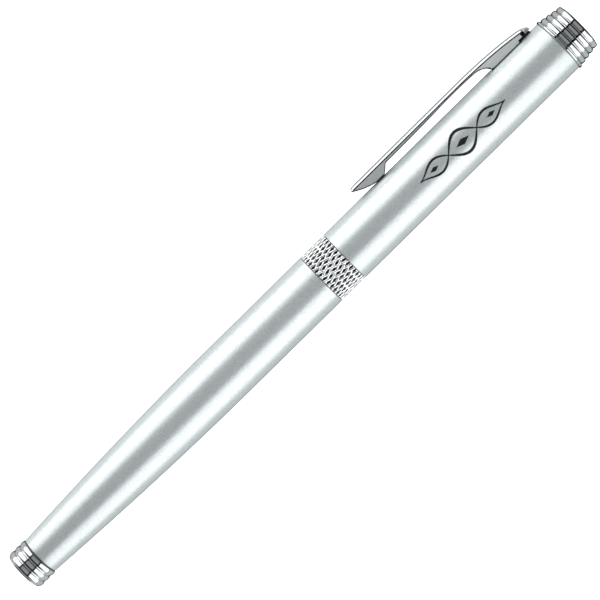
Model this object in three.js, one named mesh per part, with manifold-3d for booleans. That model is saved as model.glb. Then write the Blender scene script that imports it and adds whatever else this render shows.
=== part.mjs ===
// A capped metal rollerball pen, lying on its side with the cap on.
// Millimetres. The pen's axis is X: the tail's end face is at x = 0 and the cap's top at x = LENGTH.
// Each piece is drawn with the clip on the +Z side, and the whole pen is then rolled about X until the
// clip's outer corner and the cap's flange rest on one level.

import * as THREE from "three";
import { mergeVertices } from "three/addons/utils/BufferGeometryUtils.js";
import Module from "manifold-3d";

const wasm = await Module();
wasm.setup();

// Driving dimensions: lengths along X first, then radii and walls.
const LENGTH = 140;
const BODY_R = 5.39;
const ROLL_DEG = -127.1;

const TAIL_FINIAL_END = 4.0;
const BARREL_START = 4.3;
const TAPER_TOP = 50;
const TAPER_DROP = 1.53;
const TAPER_POWER = 1.75;
const BARREL_END = 75.3;
const BARREL_WALL = 0.55;

const BAND_START = 75.5;
const BAND_END = 81.2;
const CAP_START = 81.27;
const CAP_END = 134.7;
const CAP_WALL = 0.5;
const FIT = 0.06;

const REFILL_R = 3.0;
const REFILL_START = 9.6;
const REFILL_LENGTH = 110;
const BALL_R = 0.35;

const CLIP_WIDTH = 3.0;
const CLIP_PIN_X = 126.8;
const CLIP_PIN_Z = 3.5;
const CLIP_PIN_R = 0.45;

const OUTER_SIDES = 36;
const INNER_SIDES = 20;

// Radii that follow from the driving dimensions.
const CAP_BORE = BODY_R - CAP_WALL;
const CAP_FILL_R = CAP_BORE - FIT;
const BARREL_BORE = BODY_R - BARREL_WALL;
const BALL_X = REFILL_START + REFILL_LENGTH - BALL_R;

const satin = new THREE.MeshStandardMaterial({ color: 0xc9cdd0, roughness: 0.38, metalness: 1 });
const chrome = new THREE.MeshStandardMaterial({ color: 0xe6e8ea, roughness: 0.08, metalness: 1 });
const brass = new THREE.MeshStandardMaterial({ color: 0xc9a659, roughness: 0.3, metalness: 1 });
const steel = new THREE.MeshStandardMaterial({ color: 0xa9adb0, roughness: 0.3, metalness: 1 });
const blackPlastic = new THREE.MeshStandardMaterial({ color: 0x17181a, roughness: 0.55, metalness: 0 });
const greyPlastic = new THREE.MeshStandardMaterial({ color: 0x6f7377, roughness: 0.5, metalness: 0 });
const clearPlastic = new THREE.MeshStandardMaterial({ color: 0xdfe3e6, roughness: 0.3, metalness: 0 });
const fibre = new THREE.MeshStandardMaterial({ color: 0x1a1d2c, roughness: 0.95, metalness: 0 });

const pen = new THREE.Group();
pen.rotation.x = THREE.MathUtils.degToRad(ROLL_DEG);

function piece(name, material, geometry) {
  const mesh = new THREE.Mesh(geometry, material);
  mesh.name = name;
  pen.add(mesh);
}

// A piece turned on the pen's axis. The outline is a list of [x, radius]: the outside from tail to cap,
// then the inside back again. It starts and ends on the axis, or closes on itself.
function turned(outline, sides = INNER_SIDES) {
  const points = outline.map(([x, radius]) => new THREE.Vector2(radius, x));
  const startsOnAxis = outline[0][1] === 0;
  if (!startsOnAxis) {
    points.push(points[0].clone());
  }
  return new THREE.LatheGeometry(points, sides).rotateZ(-Math.PI / 2);
}

// A tube with straight walls, and a solid rod with a small chamfer at both ends.
function tube(start, end, outer, inner, sides) {
  return turned([[start, outer], [end, outer], [end, inner], [start, inner]], sides);
}

function rod(start, end, radius, chamfer, sides) {
  return turned(
    [
      [start, 0],
      [start, radius - chamfer],
      [start + chamfer, radius],
      [end - chamfer, radius],
      [end, radius - chamfer],
      [end, 0],
    ],
    sides,
  );
}

// The outline of a row of rounded ribs, each half an ellipse. crest and valley give a rib's radii.
function ribs(count, firstCrest, pitch, crest, valley) {
  const steps = 4;
  const outline = [];
  for (let i = 0; i < count; i++) {
    for (let k = 0; k < steps; k++) {
      const angle = Math.PI * (k / steps - 0.5);
      const radius = valley(i) + (crest(i) - valley(i)) * Math.cos(angle);
      outline.push([firstCrest + pitch * (i + Math.sin(angle) / 2), radius]);
    }
  }
  return outline;
}

// Joins and cuts.
function solid(geometry) {
  const bare = new THREE.BufferGeometry();
  bare.setAttribute("position", geometry.getAttribute("position"));
  bare.setIndex(geometry.index);
  const merged = mergeVertices(bare, 1e-4);
  const vertProperties = merged.attributes.position.array;
  const triVerts = new Uint32Array(merged.index.array);
  return new wasm.Manifold(new wasm.Mesh({ numProp: 3, vertProperties, triVerts }));
}

function geometryOf(manifold) {
  const { vertProperties, triVerts } = manifold.getMesh();
  const geometry = new THREE.BufferGeometry();
  geometry.setAttribute("position", new THREE.BufferAttribute(vertProperties, 3));
  geometry.setIndex(new THREE.BufferAttribute(triVerts, 1));
  geometry.computeVertexNormals();
  return geometry;
}

function box(x0, x1, halfWidth, z0, z1) {
  const geometry = new THREE.BoxGeometry(x1 - x0, 2 * halfWidth, z1 - z0);
  return geometry.translate((x0 + x1) / 2, 0, (z0 + z1) / 2);
}

function crossRod(x, z, radius, halfLength) {
  const sides = 12;
  return new THREE.CylinderGeometry(radius, radius, 2 * halfLength, sides).translate(x, 0, z);
}

// A side view, a Shape in X and Z, made as wide as asked about the plane y = 0.
function extrudedAcross(shape, width, curveSegments = 4, steps = 1) {
  const options = { depth: width, bevelEnabled: false, curveSegments, steps };
  const geometry = new THREE.ExtrudeGeometry(shape, options);
  return geometry.rotateX(Math.PI / 2).translate(0, width / 2, 0);
}

// A coil spring drawn along X from 0 to length.
function coil(length, radius, wireR, turns) {
  class Helix extends THREE.Curve {
    getPoint(t, target = new THREE.Vector3()) {
      const angle = 2 * Math.PI * turns * t;
      const along = wireR + (length - 2 * wireR) * t;
      return target.set(along, radius * Math.cos(angle), radius * Math.sin(angle));
    }
  }
  const section = new THREE.Shape().absarc(0, 0, wireR, 0, 2 * Math.PI);
  const steps = turns * 12;
  const options = { steps, extrudePath: new Helix(), curveSegments: 3, bevelEnabled: false };
  return new THREE.ExtrudeGeometry(section, options);
}

// Barrel: the outside tapers from the full radius at TAPER_TOP to the tail.
function barrelRadius(x) {
  const towardsTail = Math.max(0, (TAPER_TOP - x) / (TAPER_TOP - TAIL_FINIAL_END));
  return BODY_R - TAPER_DROP * towardsTail ** TAPER_POWER;
}

function barrelTube() {
  const stations = [BARREL_START, 8, 13, 19, 26, 34, 42, TAPER_TOP];
  const outside = stations.map((x) => [x, barrelRadius(x)]);
  const inside = stations.map((x) => [x, barrelRadius(x) - BARREL_WALL]).reverse();
  return turned([...outside, [BARREL_END, BODY_R], [BARREL_END, BARREL_BORE], ...inside], OUTER_SIDES);
}

const TAIL_STUD_R = 1.5;
const TAIL_STUD_START = 1.3;
const TAIL_STUD_END = 7.2;
const TAIL_RIB_PITCH = 1.32;
const TAIL_FIRST_CREST = 0.86;
const TAIL_CREST_R = 4.04;
const TAIL_VALLEY_R = 3.83;
const TAIL_FACE_R = 3.6;

function tailFinial() {
  const crest = () => TAIL_CREST_R;
  const valley = () => TAIL_VALLEY_R;
  const bore = TAIL_STUD_R + FIT;
  return turned(
    [
      [0, 0],
      [0, TAIL_FACE_R],
      ...ribs(3, TAIL_FIRST_CREST, TAIL_RIB_PITCH, crest, valley),
      [TAIL_FINIAL_END, TAIL_VALLEY_R - 0.05],
      [TAIL_FINIAL_END, bore],
      [TAIL_STUD_START - 0.1, bore],
      [TAIL_STUD_START - 0.1, 0],
    ],
    OUTER_SIDES,
  );
}

const PLUG_FLANGE_R = 3.62;
const PLUG_END = 8.2;
const PLUG_BASE_END = 5.3;
const PLUG_CUP_R = 2.75;

function tailPlug() {
  const gap = 0.04;
  const body = barrelRadius(BARREL_START) - BARREL_WALL - FIT;
  return turned([
    [TAIL_FINIAL_END + gap, PLUG_FLANGE_R],
    [BARREL_START - gap, PLUG_FLANGE_R],
    [BARREL_START - gap, body],
    [PLUG_END, body],
    [PLUG_END, PLUG_CUP_R],
    [PLUG_BASE_END, PLUG_CUP_R],
    [PLUG_BASE_END, TAIL_STUD_R + FIT],
    [TAIL_FINIAL_END + gap, TAIL_STUD_R + FIT],
  ]);
}

const SPRING_R = 2.25;
const SPRING_WIRE_R = 0.28;
const SPRING_TURNS = 4;
const SPRING_GAP = 0.1;

function refillSpring() {
  const start = PLUG_BASE_END + SPRING_GAP;
  const length = REFILL_START - SPRING_GAP - start;
  return coil(length, SPRING_R, SPRING_WIRE_R, SPRING_TURNS).translate(start, 0, 0);
}

// The section screws into the barrel's bush. Threads are drawn as plain rings of the thread's height.
const THREAD_PITCH = 0.75;
const THREAD_R = 3.85;
const THREAD_START = 68.4;
const THREAD_TURNS = 8;
const THREAD_DEPTH = 0.3;
const BUSH_START = 64;
const BUSH_END = 75.0;
const SECTION_BORE = REFILL_R + 0.12;
const SPIGOT_R = 3.72;
const SPIGOT_END = 84;

function sectionThread() {
  const rootR = THREAD_R - THREAD_DEPTH;
  const rings = [];
  for (let i = 0; i < THREAD_TURNS; i += 2) {
    const x = THREAD_START + i * THREAD_PITCH;
    rings.push([x, THREAD_R], [x + THREAD_PITCH, THREAD_R]);
    rings.push([x + THREAD_PITCH, rootR], [x + 2 * THREAD_PITCH, rootR]);
  }
  return turned([
    ...rings,
    [BARREL_END, SPIGOT_R],
    [SPIGOT_END, SPIGOT_R],
    [SPIGOT_END, SECTION_BORE],
    [THREAD_START, SECTION_BORE],
  ]);
}

const SECTION_RING_START = 75.6;
const SECTION_RING_END = 77.0;
const SECTION_RING_R = 4.45;

function sectionRing() {
  const inner = SPIGOT_R + FIT;
  const round = 0.25;
  return turned(
    [
      [SECTION_RING_START, SECTION_RING_R - round],
      [SECTION_RING_START + round, SECTION_RING_R],
      [SECTION_RING_END - round, SECTION_RING_R],
      [SECTION_RING_END, SECTION_RING_R - round],
      [SECTION_RING_END, inner],
      [SECTION_RING_START, inner],
    ],
    OUTER_SIDES,
  );
}

// The grip tapers to the nose cone and has a groove for the snap ring and finger grooves further on.
const GRIP_START = 77.2;
const GRIP_END = 110;
const GRIP_REAR_R = 4.35;
const GRIP_FRONT_R = 3.6;
const GRIP_WAIST_START = 82;
const SNAP_START = 79.0;
const SNAP_END = 80.0;
const SNAP_INNER_R = 4.02;
const SNAP_OUTER_R = 4.42;
const FINGER_GROOVES = 5;
const FINGER_GROOVE_START = 92;
const FINGER_GROOVE_PITCH = 3;
const FINGER_GROOVE_WIDTH = 0.9;
const FINGER_GROOVE_DEPTH = 0.22;
const GRIP_BORE = REFILL_R + 0.1;

function gripRadius(x) {
  const along = Math.max(0, (x - GRIP_WAIST_START) / (GRIP_END - GRIP_WAIST_START));
  return GRIP_REAR_R - (GRIP_REAR_R - GRIP_FRONT_R) * along;
}

function gripSleeve() {
  const gap = 0.08;
  const floor = SNAP_INNER_R - FIT;
  const behindRing = GRIP_REAR_R - 0.05;
  const grooves = [];
  for (let i = 0; i < FINGER_GROOVES; i++) {
    const x = FINGER_GROOVE_START + i * FINGER_GROOVE_PITCH;
    const middle = x + FINGER_GROOVE_WIDTH / 2;
    const end = x + FINGER_GROOVE_WIDTH;
    grooves.push([x, gripRadius(x)]);
    grooves.push([middle, gripRadius(middle) - FINGER_GROOVE_DEPTH]);
    grooves.push([end, gripRadius(end)]);
  }
  return turned(
    [
      [GRIP_START, behindRing],
      [SNAP_START - gap, behindRing],
      [SNAP_START - gap, floor],
      [SNAP_END + gap, floor],
      [SNAP_END + gap, GRIP_REAR_R],
      [GRIP_WAIST_START, GRIP_REAR_R],
      ...grooves,
      [GRIP_END, GRIP_FRONT_R],
      [GRIP_END, GRIP_BORE],
      [SPIGOT_END + FIT, GRIP_BORE],
      [SPIGOT_END + FIT, SPIGOT_R + FIT],
      [GRIP_START, SPIGOT_R + FIT],
    ],
    OUTER_SIDES,
  );
}

const NOSE_SPIGOT_START = 106;
const NOSE_SHOULDER_X = 111.5;
const NOSE_SHOULDER_R = 3.35;
const NOSE_WAIST_X = 115;
const NOSE_WAIST_R = 2.55;
const NOSE_END = 118;
const NOSE_TIP_R = 1.65;
const NOSE_HOLE_R = 1.3;
const NOSE_BORE_END = 111;
const REFILL_NOSE_R = 2.4;

function noseCone() {
  const spigotR = GRIP_BORE - FIT;
  const bore = REFILL_NOSE_R + 0.12;
  return turned(
    [
      [NOSE_SPIGOT_START, spigotR],
      [GRIP_END + FIT, spigotR],
      [GRIP_END + FIT, GRIP_FRONT_R],
      [NOSE_SHOULDER_X, NOSE_SHOULDER_R],
      [NOSE_WAIST_X, NOSE_WAIST_R],
      [NOSE_END - 0.3, NOSE_TIP_R],
      [NOSE_END, NOSE_TIP_R - 0.2],
      [NOSE_END, NOSE_HOLE_R],
      [NOSE_WAIST_X, NOSE_HOLE_R + 0.25],
      [NOSE_BORE_END, bore],
      [NOSE_SPIGOT_START, bore],
    ],
    OUTER_SIDES,
  );
}

// Cap. The band's lattice is two slanted families of wires. Where wires cross, the skin is at full
// height, and halfway between crossings it sinks to the floor of a diamond pocket.
const LATTICE_CELLS = 34;
const LATTICE_PITCH = 2.38;
const LATTICE_DEPTH = 0.28;
const LATTICE_ROWS = 5;

function bandOutline() {
  const rim = 0.25;
  const rimR = BODY_R - 0.04;
  const inner = CAP_BORE + 0.01;
  const rows = [];
  for (let row = 0; row < LATTICE_ROWS; row++) {
    const fromMiddle = (row - (LATTICE_ROWS - 1) / 2) * (LATTICE_PITCH / 2);
    rows.push([(BAND_START + BAND_END) / 2 + fromMiddle, BODY_R]);
  }
  return [
    [BAND_START, rimR],
    [BAND_START + rim, BODY_R],
    ...rows,
    [BAND_END - rim, BODY_R],
    [BAND_END, rimR],
    [BAND_END, inner],
    [BAND_START, inner],
  ];
}

// The lathe's vertices lie column by column, so a vertex's row and column follow from its index.
function capBand() {
  const geometry = turned(bandOutline(), 2 * LATTICE_CELLS);
  const position = geometry.getAttribute("position");
  const rowCount = position.count / (2 * LATTICE_CELLS + 1);
  const firstRow = 2;
  const isPocket = (row, column) => {
    const inLattice = row >= firstRow && row < firstRow + LATTICE_ROWS;
    return inLattice && (row - firstRow + column) % 2 === 1;
  };
  const sunk = (BODY_R - LATTICE_DEPTH) / BODY_R;
  for (let i = 0; i < position.count; i++) {
    if (isPocket(i % rowCount, Math.floor(i / rowCount))) {
      position.setXYZ(i, position.getX(i), position.getY(i) * sunk, position.getZ(i) * sunk);
    }
  }
  return ridgesAlongWires(geometry, rowCount, isPocket);
}

// Splits each square of the lathe along the diagonal that joins two crossings.
function ridgesAlongWires(geometry, rowCount, isPocket) {
  const index = geometry.getIndex();
  for (let k = 0; k < index.count; k += 6) {
    const [a, b, d, c] = [0, 1, 2, 3].map((n) => index.getX(k + n));
    if (isPocket(b % rowCount, Math.floor(b / rowCount))) {
      [a, b, c, a, c, d].forEach((vertex, n) => index.setX(k + n, vertex));
    }
  }
  return geometry;
}

// The mouth bush has a low ridge that rides over the snap ring.
const MOUTH_BUSH_START = 75.7;
const MOUTH_BUSH_END = 86;
const MOUTH_BUSH_BORE = 4.6;
const RIDGE_START = 77.9;
const RIDGE_SLOPE = 0.3;
const RIDGE_R = 4.5;

function capMouthBush() {
  return turned([
    [MOUTH_BUSH_START, CAP_FILL_R],
    [MOUTH_BUSH_END, CAP_FILL_R],
    [MOUTH_BUSH_END, MOUTH_BUSH_BORE],
    [RIDGE_START + 3 * RIDGE_SLOPE, MOUTH_BUSH_BORE],
    [RIDGE_START + 2 * RIDGE_SLOPE, RIDGE_R],
    [RIDGE_START + RIDGE_SLOPE, RIDGE_R],
    [RIDGE_START, MOUTH_BUSH_BORE],
    [MOUTH_BUSH_START, MOUTH_BUSH_BORE],
  ]);
}

// The inner cap's bore follows the section: wide at the grip, then closing in past the nose cone.
const INNER_CAP_START = 86.2;
const INNER_CAP_END = 122.2;
const INNER_CAP_FLOOR = 121.2;
const INNER_CAP_MOUTH_R = 4.55;
const INNER_CAP_MIDDLE_X = 100;
const INNER_CAP_MIDDLE_R = 4.35;
const INNER_CAP_NOSE_R = 4.1;
const INNER_CAP_FLOOR_R = 2.9;

function innerCap() {
  return turned([
    [INNER_CAP_FLOOR, 0],
    [INNER_CAP_FLOOR, INNER_CAP_FLOOR_R],
    [NOSE_END, INNER_CAP_NOSE_R],
    [INNER_CAP_MIDDLE_X, INNER_CAP_MIDDLE_R],
    [INNER_CAP_START, INNER_CAP_MOUTH_R],
    [INNER_CAP_START, CAP_FILL_R],
    [INNER_CAP_END, CAP_FILL_R],
    [INNER_CAP_END, 0],
  ]);
}

// The clip's root passes through a slot in the cap tube into a pocket of the carrier, where a cross pin
// holds it. A coil spring under the root's rear end presses the clip's tip to the cap.
const ROOT_START = 123.4;
const ROOT_END = 130.2;
const ROOT_BOTTOM_Z = 2.5;
const SLOT_GAP = 0.25;
const SLOT_HALF_WIDTH = CLIP_WIDTH / 2 + 0.15;
const POCKET_FLOOR_Z = 2.1;
const WELL_X = 128.7;
const WELL_R = 1.15;
const WELL_DEPTH = 2;
const WELL_FLOOR_Z = 0.6;
const CLIP_SPRING_R = 0.75;
const CLIP_SPRING_WIRE_R = 0.16;
const CLIP_SPRING_TURNS = 3;
const STUD_R = 2.0;
const STUD_START = 130.9;
const STUD_END = 137.6;
const CARRIER_START = 122.6;
const CARRIER_END = 133.3;
const PIN_HALF_LENGTH = 2.4;

function slotBox(bottom) {
  return box(ROOT_START - SLOT_GAP, ROOT_END + SLOT_GAP, SLOT_HALF_WIDTH, bottom, BODY_R + 1);
}

function capTube() {
  const shell = solid(tube(CAP_START, CAP_END, BODY_R, CAP_BORE, OUTER_SIDES));
  return geometryOf(shell.subtract(solid(slotBox(CLIP_PIN_Z - 1))));
}

function clipCarrier() {
  const block = turned([
    [CARRIER_START, 0],
    [CARRIER_START, CAP_FILL_R],
    [CARRIER_END, CAP_FILL_R],
    [CARRIER_END, STUD_R + FIT],
    [STUD_START - 0.1, STUD_R + FIT],
    [STUD_START - 0.1, 0],
  ]);
  const well = new THREE.CylinderGeometry(WELL_R, WELL_R, WELL_DEPTH, 16).rotateX(Math.PI / 2);
  well.translate(WELL_X, 0, WELL_FLOOR_Z + WELL_DEPTH / 2);
  const bore = crossRod(CLIP_PIN_X, CLIP_PIN_Z, CLIP_PIN_R + FIT, BODY_R);
  let carrier = solid(block).subtract(solid(slotBox(POCKET_FLOOR_Z)));
  carrier = carrier.subtract(solid(well)).subtract(solid(bore));
  return geometryOf(carrier);
}

function clipSpring() {
  const gap = 0.08;
  const length = ROOT_BOTTOM_Z - WELL_FLOOR_Z - 2 * gap;
  const spring = coil(length, CLIP_SPRING_R, CLIP_SPRING_WIRE_R, CLIP_SPRING_TURNS);
  return spring.rotateY(-Math.PI / 2).translate(WELL_X, 0, WELL_FLOOR_Z + gap);
}

// Clip, in side view: a long arm, a boat-shaped foot near the tip and an overhang behind the root.
const CLIP_TIP_X = 90.2;
const CLIP_TIP_Z = 7.5;
const CLIP_SHOULDER_X = 91.2;
const CLIP_TOP_Z = 8.0;
const CLIP_BEND_X = 117;
const CLIP_HEEL_X = 131.2;
const CLIP_HEEL_Z = 7.08;
const CLIP_REAR_X = 133.3;
const CLIP_REAR_GAP_Z = 5.77;
const CLIP_CURVE_STEPS = 4;
const CLIP_TO_HEEL_X = 125.5;
const CLIP_TO_REAR_X = 133.28;
const CLIP_TO_REAR_Z = 6.75;

const FOOT_START_X = 94.8;
const FOOT_END_X = 96.6;
const FOOT_REAR_TOP_X = 98.2;
const FOOT_Z = BODY_R + 0.07;
const ARM_UNDER_START_Z = 6.83;
const ARM_UNDER_MIDDLE_X = 112;
const ARM_UNDER_MIDDLE_Z = 7.07;
const ARM_UNDER_END_X = 120.6;
const ARM_UNDER_END_Z = 7.0;
const ROOT_BASE_Z = BODY_R - 0.2;

// Control points of the curves along the underside, from the tip to the root.
const TIP_UNDER_CONTROL = [92.6, FOOT_Z + 0.35];
const ARM_REAR_CONTROL = [117.5, 7.2];
const ARM_FRONT_CONTROL = [106, ARM_UNDER_START_Z];
const ROOT_FRONT_CONTROL = [122.9, 6.7];

// Its outer face is domed across, and its rear end is rounded in plan.
const CLIP_DOME = 0.7;
const CLIP_DOME_POWER = 4.5;
const CLIP_DOME_STEPS = 12;
const CLIP_ROUND_START = 131.0;
const CLIP_ROUND_LENGTH = 2.45;

// The outer face from the tip to the rear end, lowered by the given amount.
function clipFace(shape, lowered) {
  const top = CLIP_TOP_Z - lowered;
  shape.quadraticCurveTo(CLIP_TIP_X + 0.1, top - 0.05, CLIP_SHOULDER_X, top - 0.03);
  shape.lineTo(CLIP_BEND_X, top + 0.03);
  shape.quadraticCurveTo(CLIP_TO_HEEL_X, top, CLIP_HEEL_X, CLIP_HEEL_Z - lowered);
  shape.quadraticCurveTo(CLIP_TO_REAR_X, CLIP_TO_REAR_Z - lowered / 2, CLIP_REAR_X, CLIP_REAR_GAP_Z);
}

// The whole side view: foot, outer face, overhang, root and the arm's underside.
function clipSide(lowered) {
  const shape = new THREE.Shape();
  shape.moveTo(FOOT_START_X, FOOT_Z);
  shape.quadraticCurveTo(...TIP_UNDER_CONTROL, CLIP_TIP_X, CLIP_TIP_Z - lowered / 2);
  clipFace(shape, lowered);
  shape.lineTo((CLIP_REAR_X + CLIP_HEEL_X) / 2, CLIP_REAR_GAP_Z);
  shape.lineTo(ROOT_END, CLIP_REAR_GAP_Z);
  shape.lineTo(ROOT_END, ROOT_BASE_Z);
  shape.lineTo(ROOT_START, ROOT_BASE_Z);
  shape.quadraticCurveTo(...ROOT_FRONT_CONTROL, ARM_UNDER_END_X, ARM_UNDER_END_Z);
  shape.quadraticCurveTo(...ARM_REAR_CONTROL, ARM_UNDER_MIDDLE_X, ARM_UNDER_MIDDLE_Z);
  shape.quadraticCurveTo(...ARM_FRONT_CONTROL, FOOT_REAR_TOP_X, ARM_UNDER_START_Z);
  shape.lineTo(FOOT_END_X, FOOT_Z);
  return shape;
}

// The open channel in the arm's underside.
const CHANNEL_START = 98.6;
const CHANNEL_END = 121.6;
const CHANNEL_HALF_WIDTH = 1;
const CHANNEL_MOUTH_Z = 6;
const CHANNEL_FRONT_Z = 7.3;
const CHANNEL_MIDDLE_Z = 7.4;
const CHANNEL_REAR_Z = 7.2;

function clipChannel() {
  const shape = new THREE.Shape();
  shape.moveTo(CHANNEL_START, CHANNEL_MOUTH_Z);
  shape.lineTo(CHANNEL_START, CHANNEL_FRONT_Z);
  shape.lineTo(CLIP_BEND_X, CHANNEL_MIDDLE_Z);
  shape.lineTo(CHANNEL_END, CHANNEL_REAR_Z);
  shape.lineTo(CHANNEL_END, CHANNEL_MOUTH_Z);
  return extrudedAcross(shape, 2 * CHANNEL_HALF_WIDTH);
}

function clipHalfWidth(x) {
  const past = Math.max(0, (x - CLIP_ROUND_START) / CLIP_ROUND_LENGTH);
  return (CLIP_WIDTH / 2) * Math.sqrt(1 - past * past);
}

// The clip without its root. The straight extrusion of the side view at the clip's edges is reshaped:
// each of its layers across the width takes the side view that belongs to its place on the dome.
function domedClip() {
  const edge = clipSide(CLIP_DOME).getPoints(CLIP_CURVE_STEPS);
  const geometry = extrudedAcross(clipSide(CLIP_DOME), CLIP_WIDTH, CLIP_CURVE_STEPS, CLIP_DOME_STEPS);
  const position = geometry.getAttribute("position");
  for (let i = 0; i < position.count; i++) {
    const across = Math.sin((Math.PI * position.getY(i)) / CLIP_WIDTH);
    const lowered = CLIP_DOME * Math.abs(across) ** CLIP_DOME_POWER;
    const distance = (point) => Math.hypot(point.x - position.getX(i), point.y - position.getZ(i));
    const k = edge.findIndex((point) => distance(point) < 1e-3);
    const { x, y: z } = clipSide(lowered).getPoints(CLIP_CURVE_STEPS)[k];
    position.setXYZ(i, x, across * clipHalfWidth(x), z);
  }
  return geometry;
}

function clip() {
  const inset = 0.2;
  const rootHalf = CLIP_WIDTH / 2 - 0.1;
  const root = box(ROOT_START + inset, ROOT_END - inset, rootHalf, ROOT_BOTTOM_Z, BODY_R);
  const bore = crossRod(CLIP_PIN_X, CLIP_PIN_Z, CLIP_PIN_R + FIT, CLIP_WIDTH);
  const shape = solid(domedClip()).add(solid(root));
  return geometryOf(shape.subtract(solid(clipChannel())).subtract(solid(bore)));
}

// A soft pad lies on the cap under the overhang and stops the clip.
const BUMPER_START = 130.5;
const BUMPER_END = 132.7;
const BUMPER_HALF_WIDTH = 1.1;

function clipBumper() {
  const top = CLIP_REAR_GAP_Z - 0.07;
  const block = box(BUMPER_START, BUMPER_END, BUMPER_HALF_WIDTH, BODY_R - 0.4, top);
  const cap = tube(CAP_START, CAP_END, BODY_R + 0.02, CAP_BORE, OUTER_SIDES);
  return geometryOf(solid(block).subtract(solid(cap)));
}

const FLANGE_R = 5.665;
const FLANGE_START = 134.76;
const FLANGE_END = 135.42;
const TOP_RIB_COUNT = 4;
const TOP_RIB_PITCH = 1.12;
const TOP_FIRST_CREST = 136.02;
const TOP_CREST_R = 5.41;
const TOP_CREST_STEP = 0.18;
const TOP_RIB_DEPTH = 0.22;
const TOP_FACE_R = 4.25;
const FINIAL_SPIGOT_START = 134.4;
const WASHER_THICKNESS = 0.8;
const WASHER_R = 4.6;

function capFinial() {
  const crest = (i) => TOP_CREST_R - TOP_CREST_STEP * i;
  const valley = (i) => crest(i) - TOP_RIB_DEPTH / (1 + i / 4);
  return turned(
    [
      [STUD_END + 0.1, 0],
      [STUD_END + 0.1, STUD_R + FIT],
      [FINIAL_SPIGOT_START, STUD_R + FIT],
      [FINIAL_SPIGOT_START, CAP_FILL_R],
      [FLANGE_START, CAP_FILL_R],
      [FLANGE_START, FLANGE_R - 0.12],
      [FLANGE_START + 0.2, FLANGE_R],
      [FLANGE_END - 0.2, FLANGE_R],
      [FLANGE_END, FLANGE_R - 0.12],
      ...ribs(TOP_RIB_COUNT, TOP_FIRST_CREST, TOP_RIB_PITCH, crest, valley),
      [LENGTH - 0.12, TOP_FACE_R + 0.3],
      [LENGTH, TOP_FACE_R],
      [LENGTH, 0],
    ],
    OUTER_SIDES,
  );
}

// Refill: a standard rollerball refill, 110 mm long and 6 mm thick.
const REFILL_TUBE_END = 104;
const REFILL_BORE = 2.6;
const REFILL_PLUG_HEAD = 0.6;
const REFILL_PLUG_LENGTH = 2;

// The nose has a collar of the refill's full radius, a straight part and a taper down to the tip's shank.
const REFILL_NOSE_START = 101;
const REFILL_COLLAR_END = 104.9;
const REFILL_NOSE_STRAIGHT_START = 105.3;
const REFILL_NOSE_STRAIGHT_END = 110.2;
const REFILL_NOSE_TAPER_END = 113.6;
const REFILL_NOSE_END = 114.5;
const REFILL_NOSE_END_R = 1.3;
const FEED_BORE = 0.75;
const FEED_R = 0.65;
const FEED_START = 100.4;

// The tip is a thin tube, then a cone with the ball's seat in its end.
const TIP_START = 112.2;
const TIP_SHANK_R = 1.03;
const TIP_SHANK_END = 117.3;
const TIP_CONE_START = 117.6;
const TIP_CONE_R = 0.8;
const TIP_END = BALL_X + 0.02;
const TIP_END_R = 0.47;
const TIP_BORE = 0.4;
const TIP_THROAT_R = 0.25;
const TIP_BORE_END = 115;
const SEAT_DEPTH = 0.6;

function refillNose() {
  const shankBore = TIP_SHANK_R + FIT;
  return turned([
    [REFILL_NOSE_START, REFILL_BORE - FIT],
    [REFILL_TUBE_END + FIT, REFILL_BORE - FIT],
    [REFILL_TUBE_END + FIT, REFILL_R],
    [REFILL_COLLAR_END, REFILL_R],
    [REFILL_NOSE_STRAIGHT_START, REFILL_NOSE_R],
    [REFILL_NOSE_STRAIGHT_END, REFILL_NOSE_R],
    [REFILL_NOSE_TAPER_END, REFILL_NOSE_END_R + 0.05],
    [REFILL_NOSE_END, REFILL_NOSE_END_R],
    [REFILL_NOSE_END, shankBore],
    [TIP_START - 0.1, shankBore],
    [TIP_START - 0.1, FEED_BORE],
    [REFILL_NOSE_START, FEED_BORE],
  ]);
}

function refillTip() {
  const seatR = BALL_R + 0.05;
  const sides = 16;
  return turned(
    [
      [TIP_START, TIP_SHANK_R],
      [TIP_SHANK_END, TIP_SHANK_R],
      [TIP_CONE_START, TIP_CONE_R],
      [TIP_END, TIP_END_R],
      [TIP_END, seatR],
      [TIP_END - SEAT_DEPTH, seatR],
      [TIP_END - SEAT_DEPTH, TIP_THROAT_R],
      [TIP_BORE_END, TIP_BORE],
      [TIP_START, TIP_BORE],
    ],
    sides,
  );
}

function refillEndPlug() {
  const chamfer = 0.15;
  const headEnd = REFILL_START + REFILL_PLUG_HEAD;
  const end = REFILL_START + REFILL_PLUG_LENGTH;
  return turned([
    [REFILL_START, 0],
    [REFILL_START, REFILL_R - chamfer],
    [REFILL_START + chamfer, REFILL_R],
    [headEnd, REFILL_R],
    [headEnd, REFILL_BORE - FIT],
    [end, REFILL_BORE - FIT],
    [end, 0],
  ]);
}

function refillTube() {
  return tube(REFILL_START + REFILL_PLUG_HEAD + FIT, REFILL_TUBE_END, REFILL_R, REFILL_BORE);
}

function inkReservoir() {
  const start = REFILL_START + REFILL_PLUG_LENGTH + 0.2;
  return rod(start, FEED_START - 0.2, REFILL_BORE - 0.1, 0.3);
}

function inkFeed() {
  return rod(FEED_START, TIP_START - 0.15, FEED_R, 0.1, 12);
}

function lockWasher() {
  const start = CARRIER_END + 0.1;
  return tube(start, start + WASHER_THICKNESS, WASHER_R, STUD_R + 0.15);
}

function writingBall() {
  return new THREE.SphereGeometry(BALL_R, 12, 8).translate(BALL_X, 0, 0);
}

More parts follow.
